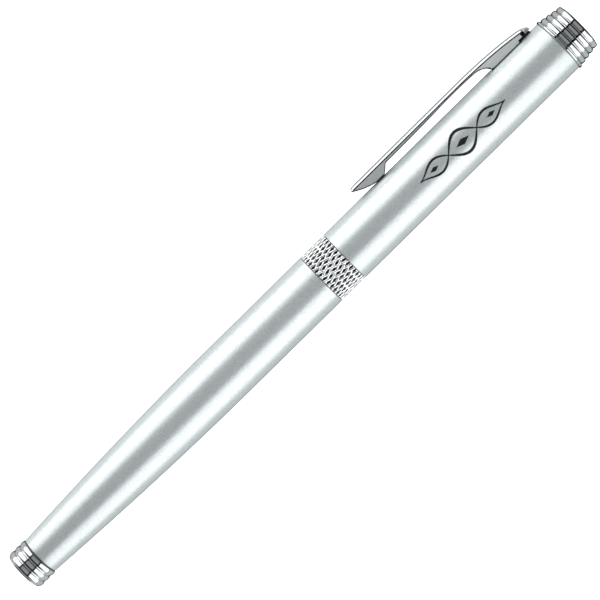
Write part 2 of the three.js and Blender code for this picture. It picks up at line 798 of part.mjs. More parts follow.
piece("barrel_tube", satin, barrelTube());
piece("tail_finial", chrome, tailFinial());
piece("tail_stud", steel, rod(TAIL_STUD_START, TAIL_STUD_END, TAIL_STUD_R, 0.2, 16));
piece("tail_plug", blackPlastic, tailPlug());
piece("refill_spring", steel, refillSpring());
piece("barrel_bush", brass, tube(BUSH_START, BUSH_END, BARREL_BORE - FIT, THREAD_R + 0.1));
piece("section_ring", chrome, sectionRing());
piece("section_thread", brass, sectionThread());
piece("grip_sleeve", blackPlastic, gripSleeve());
piece("nose_cone", chrome, noseCone());
piece("snap_ring", greyPlastic, tube(SNAP_START, SNAP_END, SNAP_OUTER_R, SNAP_INNER_R));
piece("cap_band", chrome, capBand());
piece("cap_mouth_bush", blackPlastic, capMouthBush());
piece("inner_cap", greyPlastic, innerCap());
piece("cap_tube", satin, capTube());
piece("clip_carrier", brass, clipCarrier());
piece("clip_pin", steel, crossRod(CLIP_PIN_X, CLIP_PIN_Z, CLIP_PIN_R, PIN_HALF_LENGTH));
piece("clip_spring", steel, clipSpring());
piece("clip", chrome, clip());
piece("clip_bumper", blackPlastic, clipBumper());
piece("lock_washer", steel, lockWasher());
piece("finial_stud", steel, rod(STUD_START, STUD_END, STUD_R, 0.25));
piece("cap_finial", chrome, capFinial());
piece("refill_tube", clearPlastic, refillTube());
piece("refill_end_plug", blackPlastic, refillEndPlug());
piece("ink_reservoir", fibre, inkReservoir());
piece("ink_feed", fibre, inkFeed());
piece("refill_nose", greyPlastic, refillNose());
piece("refill_tip", steel, refillTip());
piece("writing_ball", steel, writingBall());

export default pen;
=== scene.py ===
"""Looks for a capped rollerball pen: satin tubes, chrome ribbed ends, a lattice band and a spring clip.

The pen lies along X, from the tail's face at x = 0 to the cap's top. Shapes are drawn in millimetres with
the clip on +Z, then rolled about X and scaled to metres, which is how the CAD model is laid out.
"""

import math

import bmesh
import bpy
from mathutils import Matrix, Vector


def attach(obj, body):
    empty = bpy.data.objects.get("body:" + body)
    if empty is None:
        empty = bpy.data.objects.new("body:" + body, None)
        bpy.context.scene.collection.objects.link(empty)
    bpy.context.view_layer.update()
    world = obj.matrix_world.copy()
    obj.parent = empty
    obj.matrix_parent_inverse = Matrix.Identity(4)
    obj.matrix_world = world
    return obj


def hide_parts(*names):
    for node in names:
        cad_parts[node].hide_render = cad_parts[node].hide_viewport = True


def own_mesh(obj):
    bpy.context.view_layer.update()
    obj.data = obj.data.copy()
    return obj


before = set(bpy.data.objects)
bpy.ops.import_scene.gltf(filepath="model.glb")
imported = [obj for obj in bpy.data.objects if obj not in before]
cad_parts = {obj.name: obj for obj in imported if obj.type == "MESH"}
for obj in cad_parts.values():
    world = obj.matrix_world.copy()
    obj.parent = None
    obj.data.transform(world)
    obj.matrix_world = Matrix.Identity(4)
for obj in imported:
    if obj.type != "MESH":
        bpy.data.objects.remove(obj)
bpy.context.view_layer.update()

# ---- Driving dimensions, in millimetres ----
LENGTH = 140.0
BODY_R = 5.39
ROLL = math.radians(-127.1)

TAIL_FINIAL_END = 4.0
BARREL_START = 4.3
TAPER_TOP = 50.0
TAPER_DROP = 1.53
TAPER_POWER = 1.75
BARREL_END = 75.4
WALL = 0.52
CAP_WALL = 0.5

BAND_START = 75.46
BAND_END = 81.2
CAP_START = 81.27
CAP_END = 134.7

SEGMENTS = 160
MM = 0.001
TO_ROW = Matrix.Rotation(ROLL, 4, "X") @ Matrix.Scale(MM, 4)


# ---- Materials ----
class Nodes:
    """A short way to write a procedural material: node() adds one and links its inputs."""

    def __init__(self, name, color, metallic, roughness):
        self.material = bpy.data.materials.new(name)
        self.material.use_nodes = True
        self.tree = self.material.node_tree
        self.shader = self.tree.nodes["Principled BSDF"]
        self.shader.inputs["Base Color"].default_value = (*color, 1)
        self.shader.inputs["Metallic"].default_value = metallic
        self.shader.inputs["Roughness"].default_value = roughness

    def node(self, kind, settings=None, **inputs):
        made = self.tree.nodes.new(kind)
        for key, value in (settings or {}).items():
            setattr(made, key, value)
        for key, value in inputs.items():
            socket = made.inputs[key.replace("_", " ")]
            if hasattr(value, "is_output"):
                self.tree.links.new(value, socket)
            else:
                socket.default_value = value
        return made

    def noise(self, scale, detail=3.0, stretch=(1, 1, 1)):
        """Noise in the row frame; scale is in features per metre."""
        place = self.node("ShaderNodeTexCoord").outputs["Object"]
        mapping = self.node("ShaderNodeMapping", Vector=place, Scale=stretch)
        vector = mapping.outputs["Vector"]
        noise = self.node("ShaderNodeTexNoise", Vector=vector, Scale=scale, Detail=detail)
        return noise.outputs["Fac"]

    def blend_colors(self, factor, low, high, start=0.35, end=0.65):
        ramp = self.node("ShaderNodeValToRGB", Fac=factor)
        first, last = ramp.color_ramp.elements
        first.position, last.position = start, end
        first.color, last.color = (*low, 1), (*high, 1)
        self.tree.links.new(ramp.outputs["Color"], self.shader.inputs["Base Color"])

    def roughness(self, factor, low, high):
        spread = self.node("ShaderNodeMapRange", Value=factor)
        spread.inputs["To Min"].default_value = low
        spread.inputs["To Max"].default_value = high
        self.tree.links.new(spread.outputs["Result"], self.shader.inputs["Roughness"])

    def bump(self, height, distance_mm, strength=1.0):
        bump = self.node("ShaderNodeBump", Height=height, Strength=strength, Distance=distance_mm * MM)
        self.tree.links.new(bump.outputs["Normal"], self.shader.inputs["Normal"])


def satin_metal():
    """Bead-blasted silver: fine grain, slightly uneven sheen."""
    nodes = Nodes("satin_silver", (0.83, 0.86, 0.865), 0.76, 0.36)
    grain = nodes.noise(3600, 2.0)
    nodes.blend_colors(grain, (0.74, 0.785, 0.79), (0.90, 0.935, 0.94))
    nodes.roughness(nodes.noise(1500, 3.0), 0.33, 0.4)
    nodes.bump(grain, 0.016, 0.7)
    return nodes.material


def ground_chrome(name, metallic, rough_low, rough_high):
    """The clip's stamped sides: plated over a finely ground face."""
    nodes = Nodes(name, (0.88, 0.885, 0.89), metallic, rough_low)
    marks = nodes.noise(2600, 3.0, (0.2, 2, 2))
    nodes.blend_colors(marks, (0.84, 0.855, 0.86), (0.91, 0.92, 0.93))
    nodes.roughness(marks, rough_low, rough_high)
    nodes.bump(marks, 0.002, 0.3)
    return nodes.material


def painted_edge_shade():
    """Painted shade: the clip's narrow broken edges and creases in near-black, standing in for the shade
    and dark reflections along them.
    """
    nodes = Nodes("dark_edge", (0.12, 0.125, 0.13), 1.0, 0.25)
    edge_shade_noise = nodes.noise(1800, 3.0)
    nodes.blend_colors(edge_shade_noise, (0.015, 0.017, 0.018), (0.06, 0.063, 0.065))
    nodes.roughness(edge_shade_noise, 0.2, 0.35)
    return nodes.material


def chrome_metal():
    """Polished chrome with faint handling marks."""
    nodes = Nodes("chrome", (0.90, 0.91, 0.92), 1.0, 0.06)
    nodes.blend_colors(nodes.noise(260, 2.0), (0.88, 0.89, 0.90), (0.93, 0.94, 0.945))
    nodes.roughness(nodes.noise(2400, 4.0, (0.3, 1, 1)), 0.04, 0.11)
    return nodes.material


def recess_shade_metal():
    """Painted shade: near-black for the lattice band's low skin, standing in for the shade in its holes
    and along its edges.
    """
    nodes = Nodes("painted_recess_shade", (0.02, 0.022, 0.024), 0.6, 0.5)
    nodes.shader.inputs["Specular IOR Level"].default_value = 0.2
    nodes.blend_colors(nodes.noise(4000, 3.0), (0.008, 0.009, 0.01), (0.035, 0.037, 0.04))
    nodes.roughness(nodes.noise(3000, 2.0), 0.3, 0.5)
    return nodes.material


def brass_metal():
    """Turned brass: fine rings round the axis."""
    nodes = Nodes("turned_brass", (0.75, 0.58, 0.28), 1.0, 0.25)
    rings = nodes.noise(900, 4.0, (12, 0.4, 0.4))
    nodes.blend_colors(rings, (0.66, 0.49, 0.22), (0.82, 0.66, 0.35))
    nodes.roughness(rings, 0.18, 0.34)
    nodes.bump(rings, 0.006, 0.4)
    return nodes.material


def bright_steel():
    """Drawn steel with lengthwise marks."""
    nodes = Nodes("bright_steel", (0.66, 0.67, 0.68), 1.0, 0.22)
    marks = nodes.noise(1800, 3.0, (0.3, 3, 3))
    nodes.blend_colors(marks, (0.58, 0.59, 0.6), (0.74, 0.75, 0.76))
    nodes.roughness(marks, 0.14, 0.3)
    nodes.bump(marks, 0.003, 0.3)
    return nodes.material


def plastic(name, low, high, rough_low, rough_high):
    """Moulded plastic with a fine spark-eroded grain."""
    nodes = Nodes(name, low, 0.0, rough_low)
    grain = nodes.noise(5200, 2.0)
    nodes.blend_colors(nodes.noise(300, 3.0), low, high)
    nodes.roughness(grain, rough_low, rough_high)
    nodes.bump(grain, 0.006, 0.35)
    return nodes.material


def ink_print():
    """Black printed ink: nearly flat, with thin worn spots."""
    nodes = Nodes("black_print", (0.012, 0.012, 0.014), 0.0, 0.45)
    nodes.shader.inputs["Specular IOR Level"].default_value = 0.15
    nodes.blend_colors(nodes.noise(5000, 3.0), (0.006, 0.006, 0.008), (0.03, 0.03, 0.034))
    nodes.roughness(nodes.noise(3500, 2.0), 0.35, 0.55)
    return nodes.material


def felt():
    """Ink-soaked fibre rod."""
    nodes = Nodes("ink_fibre", (0.03, 0.035, 0.07), 0.0, 0.9)
    strands = nodes.noise(2600, 4.0, (0.15, 1, 1))
    nodes.blend_colors(strands, (0.015, 0.018, 0.045), (0.07, 0.08, 0.14))
    nodes.roughness(strands, 0.8, 1.0)
    nodes.bump(strands, 0.02, 0.6)
    return nodes.material


SATIN = satin_metal()
CHROME = chrome_metal()
GROUND = ground_chrome("ground_chrome", 0.8, 0.3, 0.38)
GROUND_SOFT = ground_chrome("ground_chrome_soft", 0.6, 0.45, 0.55)
EDGE = painted_edge_shade()
RECESS_SHADE = recess_shade_metal()
BRASS = brass_metal()
STEEL = bright_steel()
BLACK = plastic("black_grip", (0.012, 0.012, 0.014), (0.022, 0.022, 0.025), 0.42, 0.58)
GREY = plastic("grey_plastic", (0.13, 0.14, 0.15), (0.17, 0.18, 0.19), 0.35, 0.5)
CLEAR = plastic("natural_plastic", (0.66, 0.69, 0.71), (0.76, 0.78, 0.8), 0.2, 0.35)
PRINT = ink_print()
# The pad's black rubber is also painted shade, filling the gap under the clip's overhang.
SHADE_PAD_RUBBER = plastic("black_shade_pad", (0.008, 0.008, 0.009), (0.014, 0.014, 0.015), 0.6, 0.75)
FELT = felt()


# ---- Shape helpers ----
def finish_mesh(name, mesh, body, materials, nodes, sharp=35):
    """Places a mesh drawn in millimetres, and makes it a piece of the pen."""
    mesh.transform(TO_ROW)
    mesh.polygons.foreach_set("use_smooth", [True] * len(mesh.polygons))
    mesh.set_sharp_from_angle(angle=math.radians(sharp))
    for material in materials:
        mesh.materials.append(material)
    piece = bpy.data.objects.new(name, mesh)
    bpy.context.scene.collection.objects.link(piece)
    if nodes:
        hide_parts(*nodes)
    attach(piece, body)
    return piece


def mesh_of(name, vertices, faces):
    mesh = bpy.data.meshes.new(name)
    mesh.from_pydata(vertices, [], faces)
    mesh.update()
    return mesh


def revolve(name, outline, segments=SEGMENTS):
    """A closed outline of (x, radius), outside from tail to cap and inside back, turned about the axis."""
    count = len(outline)
    vertices = []
    for k in range(segments):
        angle = 2 * math.pi * k / segments
        vertices += [(x, r * math.sin(angle), r * math.cos(angle)) for x, r in outline]
    faces = []
    for k in range(segments):
        here, there = k * count, (k + 1) % segments * count
        for i in range(count):
            j = (i + 1) % count
            faces.append((here + i, there + i, there + j, here + j))
    mesh = mesh_of(name, vertices, faces)
    clean = bmesh.new()
    clean.from_mesh(mesh)
    bmesh.ops.remove_doubles(clean, verts=clean.verts, dist=1e-5)
    bmesh.ops.recalc_face_normals(clean, faces=clean.faces)
    clean.to_mesh(mesh)
    clean.free()
    return mesh


def arc(x, r, size_x, size_r, start, end, steps=8):
    """Points on an ellipse's arc about (x, r). Angles in degrees: 0 towards the cap, 90 outwards."""
    points = []
    for k in range(steps + 1):
        angle = math.radians(start + (end - start) * k / steps)
        points.append((x + size_x * math.cos(angle), r + size_r * math.sin(angle)))
    return points


def curve(p0, p1, p2, steps=10):
    """A quadratic curve's points after p0, up to p2."""
    points = []
    for k in range(1, steps + 1):
        t = k / steps
        weights = ((1 - t) ** 2, 2 * t * (1 - t), t * t)
        points.append(tuple(sum(w * v for w, v in zip(weights, along)) for along in zip(p0, p1, p2)))
    return points


def rectangle(x0, x1, z0, z1):
    return [(x0, z0), (x0, z1), (x1, z1), (x1, z0)]


def slab(name, side, half_width):
    """A side view made solid between -half_width and half_width."""
    count = len(side)
    vertices = [(x, y, z) for y in (-half_width, half_width) for x, z in side]
    faces = [tuple(range(count)), tuple(reversed(range(count, 2 * count)))]
    faces += [(i, i + count, (i + 1) % count + count, (i + 1) % count) for i in range(count)]
    return closed(mesh_of(name, vertices, faces))


def bridge(rings, around, loop=False):
    """Faces that join each ring of vertices to the next one, and in a loop the last to the first."""
    faces = []
    for i in range(rings if loop else rings - 1):
        j = (i + 1) % rings
        for k in range(around):
            m = (k + 1) % around
            faces.append((i * around + k, i * around + m, j * around + m, j * around + k))
    return faces


def closed(mesh):
    """The same mesh with its faces turned outwards."""
    clean = bmesh.new()
    clean.from_mesh(mesh)
    bmesh.ops.recalc_face_normals(clean, faces=clean.faces)
    clean.to_mesh(mesh)
    clean.free()
    return mesh


def subtract(mesh, tool_mesh):
    """mesh with tool_mesh cut out of it, both in millimetres."""
    body = bpy.data.objects.new("cut_body", mesh)
    tool = bpy.data.objects.new("cut_tool", tool_mesh)
    for piece in (body, tool):
        bpy.context.scene.collection.objects.link(piece)
    cut = body.modifiers.new("cut", "BOOLEAN")
    cut.object, cut.solver = tool, "EXACT"
    bpy.context.view_layer.update()
    result = bpy.data.meshes.new_from_object(body.evaluated_get(bpy.context.evaluated_depsgraph_get()))
    for piece in (body, tool):
        bpy.data.objects.remove(piece)
    return result


def ribs(count, first_crest, pitch, crest, valley, fill=0.94):
    """Rounded ribs with a tight groove between them. crest(i) and valley(i) are radii."""
    outline = []
    for i in range(count):
        middle = first_crest + pitch * i
        height = crest(i) - valley(i)
        outline += arc(middle, valley(i), pitch / 2 * fill, height, 180, 0, 12)
    return outline


def barrel_radius(x):
    towards_tail = max(0.0, (TAPER_TOP - x) / (TAPER_TOP - TAIL_FINIAL_END))
    return BODY_R - TAPER_DROP * towards_tail**TAPER_POWER


# ---- Barrel ----
def make_barrel():
    steps = 48
    stations = [BARREL_START + (TAPER_TOP - BARREL_START) * k / steps for k in range(steps + 1)]
    edge = 0.08
    outline = arc(BARREL_START + edge, barrel_radius(BARREL_START) - edge, edge, edge, 180, 90, 4)
    outline += [(x, barrel_radius(x)) for x in stations[1:]]
    outline += arc(BARREL_END - edge, BODY_R - edge, edge, edge, 90, 0, 4)
    outline += [(BARREL_END, BODY_R - WALL)]
    outline += [(x, barrel_radius(x) - WALL) for x in reversed(stations)]
    mesh = revolve("barrel", outline)
    finish_mesh("barrel_shell", mesh, "barrel", [SATIN], ["barrel_tube"])


def make_tail_finial():
    """The flat end face and three ribs, with a bore for the stud."""
    count, valley, crest, pitch, first = 3, 3.77, 4.05, 1.32, 0.86
    face_r, bore_r, bore_end = 3.7, 1.6, 1.25
    outline = [(0, 0), (0, face_r)]
    outline += ribs(count, first, pitch, lambda i: crest, lambda i: valley)
    outline += [(TAIL_FINIAL_END, valley - 0.05), (TAIL_FINIAL_END, bore_r)]
    outline += [(bore_end, bore_r), (bore_end, 0)]
    mesh = revolve("tail_finial", outline)
    finish_mesh("tail_cap", mesh, "barrel", [CHROME], ["tail_finial"])


# ---- Cap ----
def make_cap_tube():
    """The tube, with the slot that the clip's root passes through."""
    edge = 0.06
    outline = arc(CAP_START + edge, BODY_R - edge, edge, edge, 180, 90, 4)
    outline += arc(CAP_END - edge, BODY_R - edge, edge, edge, 90, 0, 4)
    outline += [(CAP_END, BODY_R - CAP_WALL), (CAP_START, BODY_R - CAP_WALL)]
    gap, floor = 0.25, 3
    side = [(ROOT_START - gap, floor), (ROOT_END + gap, floor), (ROOT_END + gap, 7), (ROOT_START - gap, 7)]
    mesh = subtract(revolve("cap_tube", outline), slab("slot", side, CLIP_HALF + 0.15))
    finish_mesh("cap_shell", mesh, "cap", [SATIN], ["cap_tube"])


def make_cap_finial():
    """The narrow flange, then ribs that step inwards to the flat top."""
    flange_r, flange_foot_r, crest_r, step, pitch, first = 5.64, 5.3, 5.41, 0.18, 1.12, 136.02
    spigot_start, spigot_end, spigot_r, bore_r, bore_end, face_r = 134.42, 134.74, 4.8, 2.1, 137.7, 4.3
    valleys = (5.14, 4.94, 4.76, 4.63)
    outline = [(spigot_start, bore_r), (spigot_start, spigot_r), (spigot_end, spigot_r), (spigot_end, 5.2)]
    outline += arc(135.08, flange_foot_r, 0.33, flange_r - flange_foot_r, 180, 0, 12)
    outline += ribs(len(valleys), first, pitch, lambda i: crest_r - step * i, lambda i: valleys[i])
    outline += [(LENGTH - 0.06, face_r + 0.15), (LENGTH, face_r), (LENGTH, 0)]
    outline += [(bore_end, 0), (bore_end, bore_r)]
    mesh = revolve("cap_finial", outline)
    finish_mesh("cap_crown", mesh, "cap", [CHROME], ["cap_finial"])


# The band: two slanted families of wires over a floor. Heights run from 0 on the floor to 1, and the
# skin is painted dark, as shade, where it is lower than WIRE_DARK_BELOW: in the holes, where a wire dips
# under another, and along the band's edges.
WIRE_CELLS = 34
WIRE_PITCH_X = 2.38
WIRE_TOP_R = BODY_R
WIRE_FLOOR_R = BODY_R - 0.3
WIRE_HALF = 0.3
WIRE_DARK_BELOW = 0.56
BAND_INNER_R = 4.9
WEAVE_DEPTH = 0.42


def wire_height(x, turn):
    """0 on the floor to 1 on a wire's crown. turn is the angle round the axis in whole turns. The wires of
    the two families pass over and under each other."""
    height = 0.0
    phases = [x / WIRE_PITCH_X + lean * turn * WIRE_CELLS for lean in (1, -1)]
    for (own, other), over in ((phases, 1), (phases[::-1], -1)):
        distance = abs(own - round(own))
        if distance < WIRE_HALF:
            weave = 1 - WEAVE_DEPTH * (1 - over * math.cos(math.pi * (other + round(own)))) / 2
            height = max(height, weave * math.sqrt(1 - (distance / WIRE_HALF) ** 2))
    return height


def relief(name, rows, around, height, floor_r, top_r):
    """A closed skin round the axis. A row is (x, radius), or (x, None) where height(x, turn) gives the
    radius between floor_r and top_r. Also gives each vertex's height."""
    vertices, heights = [], []
    for x, radius in rows:
        for k in range(around):
            level = height(x, k / around) if radius is None else 0.0
            r = radius if radius is not None else floor_r + (top_r - floor_r) * level
            angle = 2 * math.pi * k / around
            vertices.append((x, r * math.sin(angle), r * math.cos(angle)))
            heights.append(level)
    return closed(mesh_of(name, vertices, bridge(len(rows), around, loop=True))), heights


def make_band():
    """Wires from edge to edge, woven over a floor that is painted dark as shade."""
    rim = 0.05
    around, along = WIRE_CELLS * 20, 120
    start, end = BAND_START + rim, BAND_END - rim
    middle = (start + end) / 2
    rows = [(BAND_START, BAND_INNER_R), (BAND_START, WIRE_FLOOR_R)]
    rows += [(start + (end - start) * k / along, None) for k in range(along + 1)]
    rows += [(BAND_END, WIRE_FLOOR_R), (BAND_END, BAND_INNER_R)]

    def height(x, turn):
        return wire_height(x - middle, turn)

    mesh, heights = relief("band", rows, around, height, WIRE_FLOOR_R, WIRE_TOP_R)
    # Faces that lie low get the painted recess shade.
    for face in mesh.polygons:
        face.material_index = int(max(heights[v] for v in face.vertices) < WIRE_DARK_BELOW)
    finish_mesh("lattice_band", mesh, "cap", [CHROME, RECESS_SHADE], ["cap_band"], sharp=50)


# ---- Clip ----
CLIP_HALF = 1.5
CLIP_TIP = 90.2
CLIP_REAR = 133.3
CLIP_DOME = 0.7
CLIP_DOME_POWER = 4.5
CLIP_GAP_Z = 5.77
CLIP_CHAMFER = 0.2
CLIP_INSET = 0.12
CLIP_TURN_START = 131.0
CLIP_TURN_LENGTH = 2.45
CLIP_NOSE_START = 131.9
CLIP_TIP_TAPER_END = 94.0
CLIP_TIP_TAPER = 0.3
ARM_MIDDLE = 110
ROOT_START = 123.4
ROOT_END = 130.2
ROOT_BASE_Z = BODY_R - 0.2
FOOT_Z = BODY_R + 0.07
CHANNEL_HALF = 1.0
OVERHANG_CUT_Z = 4.0

# The outline across the clip, counted in strips from the first lower corner.
DOME_COLUMNS = 28
DOME_EDGE_COLUMNS = 4
FIRST_WALL_COLUMN = 1
FIRST_DOME_COLUMN = 2
SECOND_WALL_COLUMN = DOME_COLUMNS + 2
UNDERSIDE_COLUMN = DOME_COLUMNS + 4

# The clip's materials, in the order in which its mesh holds them.
# EDGE_STRIP is painted shade: dark lines along the clip's edges and creases.
PLATED, FOOT_WALL, ROOT_WALL, EDGE_STRIP = range(4)


def crown_line():
    """The clip's outer line in the middle plane, from tip to rear, in (x, z)."""
    tip, shoulder, bend, heel = (CLIP_TIP, 7.5), (91.2, 7.97), (117.0, 8.02), (131.2, 7.08)
    line = [tip] + curve(tip, (90.3, 7.95), shoulder, 10)
    line += [(104.0, 8.0), bend] + curve(bend, (125.5, 8.0), heel, 20)
    return line + curve(heel, (133.28, 6.75), (CLIP_REAR, CLIP_GAP_Z), 14)


def under_line():
    """The foot, the arm's underside and the root, in (x, z). The overhang's gap is cut afterwards."""
    foot_start, foot_end, foot_top = (94.8, FOOT_Z), (96.6, FOOT_Z), (98.2, 6.83)
    arm_middle, arm_end, root = (112.0, 7.07), (120.6, 7.0), (ROOT_START, ROOT_BASE_Z)
    line = [(CLIP_TIP, 7.3)] + curve((CLIP_TIP, 7.3), (92.6, FOOT_Z + 0.35), foot_start, 10)
    line += [foot_end, foot_top] + curve(foot_top, (106.0, 6.83), arm_middle, 8)
    line += curve(arm_middle, (117.5, 7.2), arm_end, 8) + curve(arm_end, (122.9, 6.7), root, 12)
    return line + [(CLIP_REAR, ROOT_BASE_Z)]


def height_on(line, x):
    """The height at x of a line of (x, z) points that runs towards +X."""
    for (x0, z0), (x1, z1) in zip(line, line[1:]):
        if x0 <= x <= x1 and x1 > x0:
            return z0 + (z1 - z0) * (x - x0) / (x1 - x0)
    return line[-1][1]


def clip_half_width(x):
    """Rounded in plan at the rear, and narrowed a little towards the tip."""
    past = max(0.0, (x - CLIP_TURN_START) / CLIP_TURN_LENGTH)
    before = max(0.0, (CLIP_TIP_TAPER_END - x) / (CLIP_TIP_TAPER_END - CLIP_TIP))
    return CLIP_HALF * math.sqrt(1 - past * past) * (1 - CLIP_TIP_TAPER * before * before)


def clip_section(x, crown, under):
    """The closed outline across the clip at x: lower corner, wall, dome, wall and lower corner."""
    top, bottom = height_on(crown, x), height_on(under, x)
    half = clip_half_width(x)
    fade_length, least_wall = 1.2, 0.06
    dome = min(CLIP_DOME * min(1.0, (CLIP_REAR - x) / fade_length), top - bottom - least_wall)
    nearby = 0.05
    slope = (height_on(under, x + nearby) - height_on(under, x - nearby)) / (2 * nearby)
    rise = min(CLIP_CHAMFER * math.hypot(1, slope), (top - dome - bottom) * 0.8)
    points = [(x, CLIP_INSET - half, bottom), (x, -half, bottom + rise)]
    for k in range(DOME_COLUMNS + 1):
        across = math.sin(math.pi * (k / DOME_COLUMNS - 0.5))
        points.append((x, across * half, top - dome * abs(across) ** CLIP_DOME_POWER))
    return points + [(x, half, bottom + rise), (x, half - CLIP_INSET, bottom)]


def clip_finish(column, x):
    """The material of a strip of the clip's skin, by its place in the outline across the clip."""
    on_dome = FIRST_DOME_COLUMN <= column < SECOND_WALL_COLUMN
    on_wall = column in (FIRST_WALL_COLUMN, SECOND_WALL_COLUMN)
    from_side = min(column - FIRST_DOME_COLUMN, SECOND_WALL_COLUMN - 1 - column)
    # The dome's outer columns, the lower chamfers and the walls where they turn at the rear get
    # EDGE_STRIP, which is painted shade.
    if x > CLIP_NOSE_START and (on_dome or on_wall):
        return FOOT_WALL
    if on_wall and x > CLIP_TURN_START:
        return EDGE_STRIP
    if on_wall:
        return FOOT_WALL if x < ARM_MIDDLE else ROOT_WALL
    if on_dome and from_side >= DOME_EDGE_COLUMNS:
        return PLATED
    return PLATED if column == UNDERSIDE_COLUMN else EDGE_STRIP


def make_clip():
    """The arm is domed across, falls to square edges, and is hollow beneath."""
    crown, under = crown_line(), under_line()
    stations = sorted({round(x, 4) for x, _ in crown + under})
    sections = [clip_section(x, crown, under) for x in stations]
    count = len(sections[0])
    vertices = [point for section in sections for point in section]
    ends = [tuple(range(count)), tuple(reversed(range(len(vertices) - count, len(vertices))))]
    mesh = mesh_of("clip", vertices, ends + bridge(len(sections), count))
    for material in (CHROME, GROUND, GROUND_SOFT, EDGE):
        mesh.materials.append(material)
    # The tip's end face gets EDGE_STRIP, painted shade; the rear end face is plated.
    finishes = [EDGE_STRIP, PLATED] + [clip_finish(k, x) for x in stations[:-1] for k in range(count)]
    mesh.polygons.foreach_set("material_index", finishes)
    solid = subtract(closed(mesh), slab("channel", channel_side(), CHANNEL_HALF))
    overhang = rectangle(ROOT_END, CLIP_REAR + 1, OVERHANG_CUT_Z, CLIP_GAP_Z)
    solid = subtract(solid, slab("overhang", overhang, 2 * CLIP_HALF))
    finish_mesh("pocket_clip", solid, "clip", [], ["clip"], sharp=20)


def channel_side():
    """The side view of the open channel in the arm's underside."""
    start, end, bottom, top = 98.6, 121.6, 6.0, 7.4
    line = [(start, bottom), (start, top - 0.2), (start + 0.6, top - 0.1), (117, top)]
    return line + [(end - 0.4, top - 0.15), (end, top - 0.3), (end, bottom)]


def make_clip_root():
    """The part of the clip inside the cap."""
    inset, bottom, top = 0.2, 2.5, 5.4
    side = rectangle(ROOT_START + inset, ROOT_END - inset, bottom, top)
    finish_mesh("clip_root", slab("clip_root", side, CLIP_HALF - 0.1), "clip", [STEEL], [])


def make_bumper_shade_pad():
    """The soft pad on the cap that stops the clip's overhang."""
    # Painted shade: the pad is black and fills the gap under the clip's overhang, standing in for the
    # shade there as well as stopping the overhang.
    start, end, half, corner = 130.34, 132.9, 1.1, 0.1
    top = CLIP_GAP_Z - 0.05
    side = arc(end - corner, top - corner, corner, corner, 0, 90, 5)
    side += arc(start + corner, top - corner, corner, corner, 90, 180, 5)
    side += [(start, BODY_R - 0.25), (end, BODY_R - 0.25)]
    mesh = slab("pad", side, half)
    piece = finish_mesh("clip_shade_pad", mesh, "cap", [SHADE_PAD_RUBBER], ["clip_bumper"])
    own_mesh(piece)


# ---- Section under the cap ----
GRIP_START = 77.2
GRIP_END = 110
GRIP_WAIST_START = 82
GRIP_REAR_R = 4.35
GRIP_FRONT_R = 3.6
SNAP_MIDDLE = 79.5
FINGER_GROOVES = 5
THREAD_BORE_R = 3.12
SPIGOT_R = 3.72
SPIGOT_END = 84
TRIM_BORE_R = 3.78
BALL_X = 119.25
BALL_R = 0.35


def grip_radius(x):
    along = max(0.0, (x - GRIP_WAIST_START) / (GRIP_END - GRIP_WAIST_START))
    return GRIP_REAR_R - (GRIP_REAR_R - GRIP_FRONT_R) * along


def make_grip():
    """Black sleeve: a groove for the clutch ring, and finger grooves that follow its taper."""
    edge, behind_ring, ring_floor, ring_half, bore_r = 0.1, 4.3, 3.96, 0.58, 3.1
    first_groove, groove_pitch, groove_half, groove_depth = 92.45, 3, 0.45, 0.22
    outline = [(GRIP_START, behind_ring - edge), (GRIP_START + edge, behind_ring)]
    outline += [(SNAP_MIDDLE - ring_half, behind_ring), (SNAP_MIDDLE - ring_half, ring_floor)]
    outline += [(SNAP_MIDDLE + ring_half, ring_floor), (SNAP_MIDDLE + ring_half, GRIP_REAR_R)]
    outline += [(GRIP_WAIST_START, GRIP_REAR_R)]
    for i in range(FINGER_GROOVES):
        middle = first_groove + groove_pitch * i
        outline += arc(middle, grip_radius(middle), groove_half, groove_depth, 180, 360, 10)
    outline += [(GRIP_END - edge, GRIP_FRONT_R), (GRIP_END, GRIP_FRONT_R - edge), (GRIP_END, bore_r)]
    outline += [(SPIGOT_END + 0.06, bore_r), (SPIGOT_END + 0.06, TRIM_BORE_R), (GRIP_START, TRIM_BORE_R)]
    mesh = revolve("grip", outline)
    finish_mesh("grip_shell", mesh, "grip", [BLACK], ["grip_sleeve"])


def make_nose_cone():
    """A spigot inside the grip, then a shoulder that curves down to the hole for the refill's tip."""
    start, shoulder, waist, end = 106, (110.06, 3.58), (115, 2.62), 118
    spigot_r, bore_r, hole_r, edge = 3.04, 2.52, 1.3, 0.3
    outline = [(start, spigot_r), (shoulder[0], spigot_r), (shoulder[0], 3.5)]
    outline += curve(shoulder, (112.6, 3.45), waist, 12)
    outline += curve(waist, (116.8, 1.9), (end - edge, 1.65), 8)
    outline += arc(end - edge, 1.35, edge, edge, 90, 0, 6)
    outline += [(end, hole_r), (waist[0], hole_r + 0.25), (111, bore_r), (start, bore_r)]
    mesh = revolve("nose", outline)
    finish_mesh("nose_shell", mesh, "grip", [CHROME], ["nose_cone"])


def make_section_ring():
    start, end, outer, edge = 75.6, 77, 4.45, 0.3
    outline = arc(start + edge, outer - edge, edge, edge, 180, 90, 6)
    outline += arc(end - edge, outer - edge, edge, edge, 90, 0, 6)
    outline += [(end, TRIM_BORE_R), (start, TRIM_BORE_R)]
    mesh = revolve("section_ring", outline)
    finish_mesh("section_trim", mesh, "section_ring", [CHROME], ["section_ring"])


def make_snap_ring():
    half, inner = 0.48, 4.02
    outline = arc(SNAP_MIDDLE, 4.1, half, 0.32, 180, 0, 14)
    outline += [(SNAP_MIDDLE + half, inner), (SNAP_MIDDLE - half, inner)]
    mesh = revolve("snap_ring", outline)
    finish_mesh("clutch_ring", mesh, "snap_ring", [GREY], ["snap_ring"])


